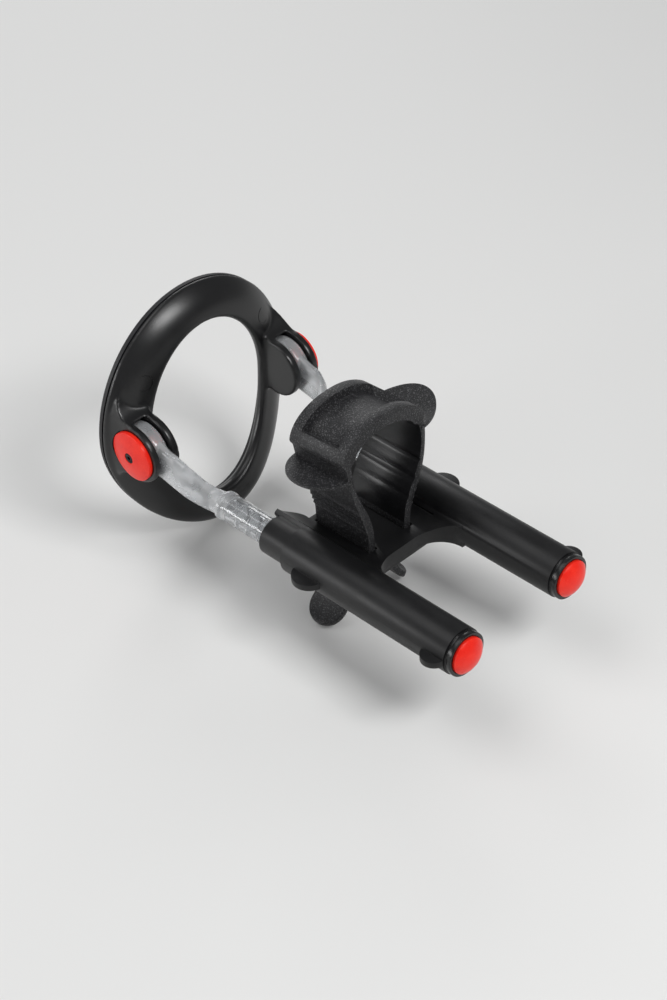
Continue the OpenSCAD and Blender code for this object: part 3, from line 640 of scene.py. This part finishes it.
def buildArm():
    r, bore = arm["tubeRadius"], arm["bore"]
    y0, (c0, c1) = arm["tubeStart"], arm["collar"]
    outline = [(0.001, c1), (arm["collarRadius"] - 0.5, c1), (arm["collarRadius"], c1 - 0.5),
               (arm["collarRadius"], c0 + 0.5), (arm["collarRadius"] - 0.4, c0), (r, c0 - 0.1), (r, y0 + 0.4),
               (r - 0.4, y0), (bore, y0)]
    y = y0 + 6
    while y < c0 - 4:
        outline += [(bore, y), (bore + arm["grooveDepth"], y + 0.1),
                    (bore + arm["grooveDepth"], y + arm["grooveWidth"] - 0.1), (bore, y + arm["grooveWidth"])]
        y += arm["groove"]
    outline += [(bore, c0 - 1.4), (bore - 0.5, c0 - 1), (0.001, c0 - 1)]
    body = turnedOf("clearArm", outline, 64)
    settle(body, Matrix.Translation((-axisX, 0, 0)) @ Matrix.Rotation(-pi / 2, 4, "X"))
    facesOutward(body)
    half = arm["eyeThick"] / 2
    eye = crossBar("eye", -arm["eyeX"] - half, -arm["eyeX"] + half, pivotY, pivotZ, arm["eyeRadius"], 72)
    soften(eye, 0.9, 4, 40)
    combine(body, buildBlade())
    combine(body, eye)
    start, end = -arm["eyeX"] - half - 1, -arm["eyeX"] + half + 1
    hole = crossBar("hole", start, end, pivotY, pivotZ, arm["pinRadius"], 48)
    combine(body, hole, "DIFFERENCE")
    modify(body, "REMESH", mode="VOXEL", voxel_size=arm["voxel"] * mm)
    modify(body, "SMOOTH", factor=0.5, iterations=arm["smooth"])
    settle(body, home)
    shade(body, 60)
    return body


clearArmLeft = buildArm()
clearArmRight = mirrored(clearArmLeft, "clearArmRight")
clearArmLeft.name = clearArmLeft.data.name = "clearArmLeft"
finishPiece(clearArmLeft, finishes["clear_plastic"], "arm_left", "clear_plastic", "arm_left")
finishPiece(clearArmRight, finishes["clear_plastic"], "arm_right", "clear_plastic", "arm_right")


# ---- rubber strap, drawn in x and z from the barrel axes and pulled along the barrels

strap = {"front": 58.2, "width": 24.6, "crown": 5.3, "leg": 2.8, "waist": 1.7, "rim": 4.0, "windowDepth": 3.2,
         "windowFrom": 42.4, "ribs": (8.6, 11.0, 13.4, 15.8, 18.2), "ribHeight": 0.55, "ribWidth": 0.55,
         "grooveDepth": 0.7, "corner": 0.35, "tilt": 0.07,
         "flapHalf": 12.6, "flapRim": 1.1, "flapRoot": 5.6}
# grooves inside the right leg: height, share of the depth, width
grooves = ((11.2, 0.6, 0.45), (17.0, 1, 0.9), (23.4, 0.8, 0.5))
# each flap: side, root, reach, height, rise of its rim
flaps = ((-1, 16.0, 12.3, 32.2, 1.2), (1, 17.1, 14.4, 34.2, 4.2))
# middle line of the band from the left foot over the crown to the right foot
bandLine = [(-8.3, -8.5), (-8.3, -3.0), (-8.3, 2.0), (-8.6, 8.0), (-10.3, 14.6), (-12.9, 21.2),
            (-15.0, 28.0), (-16.2, 35.0), (-16.3, 40.2), (-13.5, 44.2), (-8.2, 46.8), (-1.2, 47.7),
            (5.2, 47.0), (10.8, 44.7), (15.0, 41.2), (17.1, 35.5), (17.1, 28.6), (15.6, 22.0),
            (12.5, 15.2), (9.6, 8.6), (8.4, 2.0), (8.3, -3.0), (8.3, -8.5)]


def curveThrough(points, per):
    line = []
    count = len(points)
    for i in range(count - 1):
        p0 = Vector(points[max(0, i - 1)])
        p1, p2 = Vector(points[i]), Vector(points[i + 1])
        p3 = Vector(points[min(count - 1, i + 2)])
        for k in range(per):
            t = k / per
            line.append(0.5 * ((2 * p1) + (p2 - p0) * t + (2 * p0 - 5 * p1 + 4 * p2 - p3) * t * t
                               + (3 * p1 - p0 - 3 * p2 + p3) * t * t * t))
    line.append(Vector(points[-1]))
    return line


def bumpAt(z, place, height, width):
    return height * exp(-((z - place) / width) ** 2)


def bandThickness(point):
    # outer and inner distances from the middle line
    x, z = point
    high = max(0.0, min(1.0, (z - 37.4) / 2.6))
    high = high * high * (3 - 2 * high)
    waist = exp(-((z - 30) / 9) ** 2)
    leg = strap["leg"] + (strap["waist"] - strap["leg"]) * waist
    total = leg + (strap["crown"] - leg) * high
    outer = inner = total / 2
    if 5 < z < 24:
        outer += sum(bumpAt(z, place, strap["ribHeight"], strap["ribWidth"]) for place in strap["ribs"])
    if x > 0 and 6 < z < 30:
        for place, share, width in grooves:
            inner -= bumpAt(z, place, strap["grooveDepth"] * share, width)
    return outer, inner


def besideLine(line, side):
    points = []
    for i, p in enumerate(line):
        before, after = line[max(0, i - 1)], line[min(len(line) - 1, i + 1)]
        along = (after - before).normalized()
        # outward on a path that runs clockwise over the crown
        left = Vector((-along.y, along.x))
        outer, inner = bandThickness(p)
        points.append(p + left * (outer if side > 0 else -inner))
    return points


def tilted(co, low=20.0):
    # the crown stands a little higher at the front
    z = co.z / mm
    share = max(0.0, min(1.0, (z - low) / 20))
    middle = strap["front"] + strap["width"] / 2
    co.z += (middle - co.y / mm) * strap["tilt"] * share * mm
    return co


def standUp(piece, y):
    # from drawn (x, z) and thickness to the upright place, front face at y
    settle(piece, Matrix(((1, 0, 0, 0), (0, 0, 1, y * mm), (0, 1, 0, 0), (0, 0, 0, 1))))
    facesOutward(piece)


def buildBand():
    line = curveThrough(bandLine, 9)
    outline = besideLine(line, 1) + besideLine(line, -1)[::-1]
    band = slabOf("rubberStrap", [(p.x, p.y) for p in outline], strap["width"])
    standUp(band, strap["front"])
    # window in the crown, with a deeper pocket than its rims
    crown = [p for p in line if p.y > strap["windowFrom"]]
    top = besideLine(crown, 1)
    floor = [t + (p - t).normalized() * strap["windowDepth"] for t, p in zip(top, crown)]
    above = [t - (p - t).normalized() * 4 for t, p in zip(top, crown)]
    window = slabOf("window", [(p.x, p.y) for p in above + floor[::-1]], strap["width"] - 2 * strap["rim"])
    standUp(window, strap["front"] + strap["rim"])
    soften(window, 0.5, 2, 40)
    combine(band, window, "DIFFERENCE")
    return band


def buildFlap(side, start, reach, z, rise):
    bpy.ops.object.select_all(action="DESELECT")
    half, rim, root = (strap[key] for key in ("flapHalf", "flapRim", "flapRoot"))
    bpy.ops.mesh.primitive_cylinder_add(vertices=96, radius=1, depth=rim * mm)
    flap = bpy.context.object
    flap.name = flap.data.name = "flap"
    moveVerts(flap, lambda co: Vector((co.x * reach * mm, co.y * half * mm, co.z)))
    cuts = [((x * mm, 0, 0), (1, 0, 0), x < 0) for x in [i * 1.3 - 0.5 for i in range(12)]]
    cuts += [((0, y * mm, 0), (0, 1, 0), False) for y in [i * 1.8 for i in range(-7, 8)]]
    for place, way, drop in cuts:
        editAll(flap)
        bpy.ops.mesh.bisect(plane_co=place, plane_no=way, clear_inner=drop, use_fill=drop)
        bpy.ops.object.mode_set(mode="OBJECT")
    facesOutward(flap)

    def dish(co):
        x, y = max(0, co.x / mm) / reach, co.y / mm / half
        far = min(1, sqrt(x * x + y * y * 0.3))
        out = min(1, sqrt(x * x + y * y))
        if co.z < 0:
            co.z -= root * mm * (1 - out) ** 1.3
        co.z += rise * mm * far * far
        return co
    moveVerts(flap, dish)
    soften(flap, 0.35, 3, 50)
    middle = strap["front"] + strap["width"] / 2
    spot = (side * start * mm, middle * mm, z * mm)
    settle(flap, Matrix.Translation(spot) @ Matrix.Diagonal((side, 1, 1, 1)))
    facesOutward(flap)
    return flap


tongue = {"half": 7.2, "middle": 73.4, "thick": 2.4, "end": 7.0, "cuts": 20,
          "line": [(8.3, -7.0), (8.4, -12.0), (9.4, -19.0), (12.2, -26.0), (16.6, -30.4), (20.4, -32.2)]}


def buildTongue(side, reach):
    path = curveThrough(tongue["line"], 8)
    lengths = [0]
    for before, after in zip(path, path[1:]):
        lengths.append(lengths[-1] + (after - before).length)
    total, half, end = lengths[-1], tongue["half"], tongue["end"]
    outline = [(-half, 0), (half, 0)]
    for i in range(33):
        a = pi * i / 32
        outline.append((half * cos(a), total - end + end * sin(a)))
    piece = slabOf("tongue", outline, tongue["thick"])
    for i in range(1, tongue["cuts"]):
        editAll(piece)
        bpy.ops.mesh.bisect(plane_co=(0, total * i / tongue["cuts"] * mm, 0), plane_no=(0, 1, 0))
        bpy.ops.object.mode_set(mode="OBJECT")
    soften(piece, 0.5, 3, 40)

    def laid(co):
        # from across, along and thickness to the bent path
        along = max(0, min(total, co.y / mm))
        k = max(i for i, length in enumerate(lengths) if length <= along + 1e-6)
        k = min(k, len(path) - 2)
        way = (path[k + 1] - path[k])
        spot = path[k] + way * ((along - lengths[k]) / way.length)
        beside = Vector((-way.y, way.x)).normalized() * (co.z / mm - tongue["thick"] / 2)
        wide = 1 + (reach - 1) * max(0, min(1, (-spot.y - 12) / 16))
        x, z = spot.x * wide + beside.x, spot.y + beside.y
        return Vector((x * mm, tongue["middle"] * mm + co.x, z * mm))
    moveVerts(piece, laid)
    settle(piece, Matrix.Diagonal((side, 1, 1, 1)))
    facesOutward(piece)
    return piece


def buildStrap():
    band = buildBand()
    for flap in flaps:
        combine(band, buildFlap(*flap))
    moveVerts(band, tilted)
    combine(band, buildTongue(-1, 1.05))
    combine(band, buildTongue(1, 0.9))
    facesOutward(band, 2e-6)
    soften(band, strap["corner"], 2, 48)
    settle(band, home)
    shade(band, 40)
    return band


rubberStrap = buildStrap()
finishPiece(rubberStrap, finishes["strap_rubber"], "frame", "strap_rubber", "rubber_strap")
# the inside of the right leg is left smooth by its mould
rubberStrap.data.materials.append(rubberFinish("strapSatin", satinLook))
for face in rubberStrap.data.polygons:
    if face.normal.x < -0.55 and face.center.x > 6 * mm and 2 * mm < face.center.z - axisZ < 41 * mm:
        face.material_index = 1


# ---- housing, collars, buttons and pivots keep the frame's shapes, with their corners rounded

softened = [("barrel_frame", 0.45, 3, "frame", "housing"), ("strap_clamp", 0.15, 2, "frame", "clampPlate")]
# kinds with one on each side: node, corner width, segments, carrier, piece
sidePairs = [("guide_bush", 0.2, 2, "frame", "bush"), ("button", 0.35, 3, "button", "redButton"),
             ("collar", 0.22, 3, "frame", "frontCollar"), ("pivot_cap", 0.3, 3, "ring", "redCap"),
             ("pivot_screw", 0.12, 2, "ring", "capScrew")]
for kind, width, segments, carrier, pieceName in sidePairs:
    for side in ("left", "right"):
        body = "button_" + side if carrier == "button" else carrier
        softened.append((kind + "_" + side, width, segments, body, pieceName + side.capitalize()))
for nodeName, width, segments, body, pieceName in softened:
    piece = roundedCopy(nodeName, width, segments, 32, pieceName)
    material = collarPlastic if nodeName.startswith("collar") else finishes[slotOfNode[nodeName]]
    finishPiece(piece, material, body, slotOfNode[nodeName], nodeName)


# ---- floor, backdrop, light and camera

studio = {"floor": (0.78, 0.78, 0.77), "sky": 0.25, "key": 3.2, "front": 6.5, "low": 4.0, "rim": 2.0}


def paleFinish(name, colour):
    board = Board(name)
    cloud = board.noise(3.0, 3.0)
    board.colour(board.mixed(board.band(cloud, 0.3, 0.7), tuple(c * 0.985 for c in colour), colour))
    board.roughness(board.band(cloud, 0.3, 0.7, 0.55, 0.65))
    return board.material


bpy.ops.object.select_all(action="DESELECT")
bpy.ops.mesh.primitive_plane_add(size=6.0, location=(0, 0, -0.00005))
floor = bpy.context.object
floor.name = "floor"
floor.data.materials.append(paleFinish("paleFloor", studio["floor"]))

world = bpy.data.worlds.new("studioSky")
bpy.context.scene.world = world
world.use_nodes = True
sky = world.node_tree.nodes["Background"]
sky.inputs["Color"].default_value = (0.97, 0.98, 1.0, 1)
sky.inputs["Strength"].default_value = studio["sky"]


def softLamp(name, place, aim, size, watts):
    bpy.ops.object.light_add(type="AREA", location=place)
    lamp = bpy.context.object
    lamp.name = name
    lamp.data.shape = "RECTANGLE"
    lamp.data.size, lamp.data.size_y = size
    lamp.data.energy = watts
    lamp.rotation_euler = (Vector(aim) - Vector(place)).to_track_quat("-Z", "Y").to_euler()


softLamp("keyPanel", (-0.35, 0.30, 1.05), (0, 0.02, 0.04), (0.9, 0.6), studio["key"])
softLamp("frontPanel", (0.04, -0.70, 0.82), (0, 0.05, 0.05), (0.42, 0.30), studio["front"])
softLamp("lowPanel", (-0.90, 0.62, 0.30), (0, 0.02, 0.03), (0.8, 0.20), studio["low"])
softLamp("rimPanel", (0.60, 0.85, 0.50), (0, 0.02, 0.04), (0.6, 0.3), studio["rim"])

cameraSet = {"azimuth": -42.4, "elevation": 39.0, "roll": -3.7, "distance": 758.5,
             "across": -59.416, "up": 36.945, "lens": 86.4}


def placeCamera():
    a, e, r = (radians(cameraSet[key]) for key in ("azimuth", "elevation", "roll"))
    back = Vector((sin(a) * cos(e), -cos(a) * cos(e), sin(e)))
    level = Vector((cos(a), sin(a), 0))
    upright = back.cross(level)
    right = level * cos(r) + upright * sin(r)
    up = upright * cos(r) - level * sin(r)
    spot = Vector((0, rimY, axisZ)) + (right * cameraSet["across"] + up * cameraSet["up"]
                                       + back * cameraSet["distance"]) * mm
    data = bpy.data.cameras.new("camera")
    camera = bpy.data.objects.new("camera", data)
    bpy.context.collection.objects.link(camera)
    turn = Matrix((right, up, back)).transposed().to_4x4()
    camera.matrix_world = Matrix.Translation(spot) @ turn
    data.lens = cameraSet["lens"]
    data.sensor_width = 36
    data.clip_start = 0.01
    data.clip_end = 20
    bpy.context.scene.camera = camera


placeCamera()
bpy.context.scene.view_settings.view_transform = "Standard"
print("studio ready")
